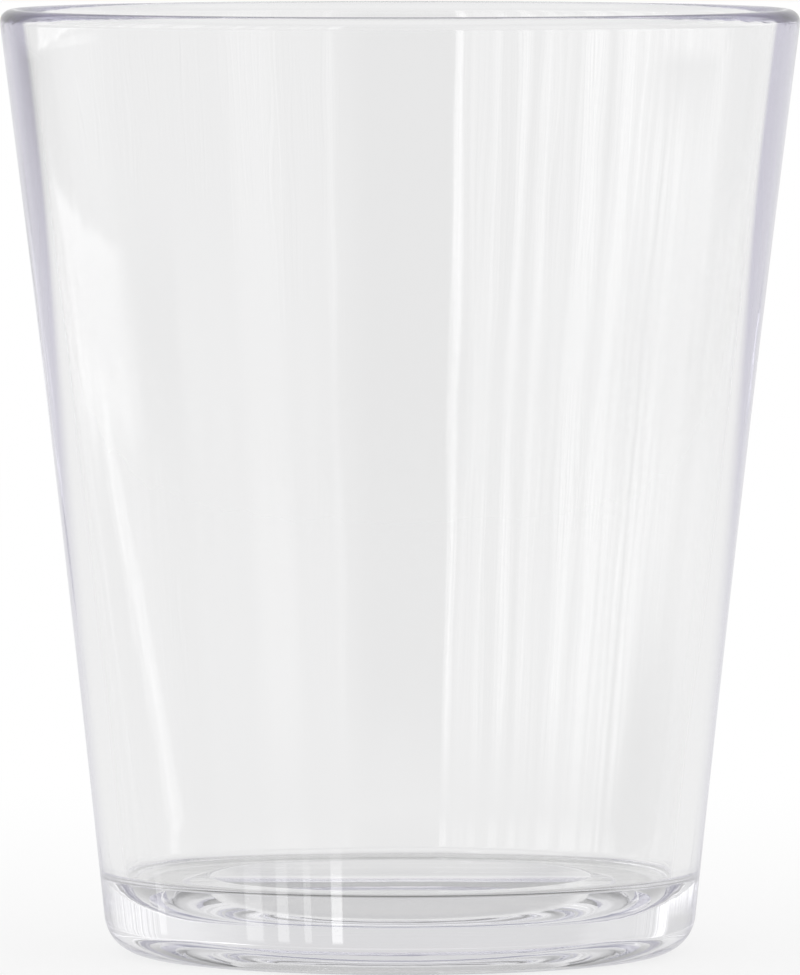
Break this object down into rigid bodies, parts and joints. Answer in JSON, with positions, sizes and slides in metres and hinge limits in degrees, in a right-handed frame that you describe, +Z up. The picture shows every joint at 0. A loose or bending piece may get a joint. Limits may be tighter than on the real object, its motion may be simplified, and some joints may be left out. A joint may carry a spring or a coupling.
{
  "type": "rocks glass",
  "caption": "Clear rocks glass with a slightly flared side wall, a full-round rim, a round well in its floor and a heavy clear base on a hollowed foot.",
  "frame": {"origin": "centre of the foot, on the surface that the glass stands on", "axes": "+Z up along the axis of the glass, towards the rim; X and Y are free because the glass is round"},
  "size_m": [0.088, 0.088, 0.104],
  "materials": {
    "clear_plastic": "clear and polished, with a faint violet cast"
  },
  "bodies": {
    "root": {"cup": "clear_plastic", "base": "clear_plastic"}
  },
  "joints": []
}
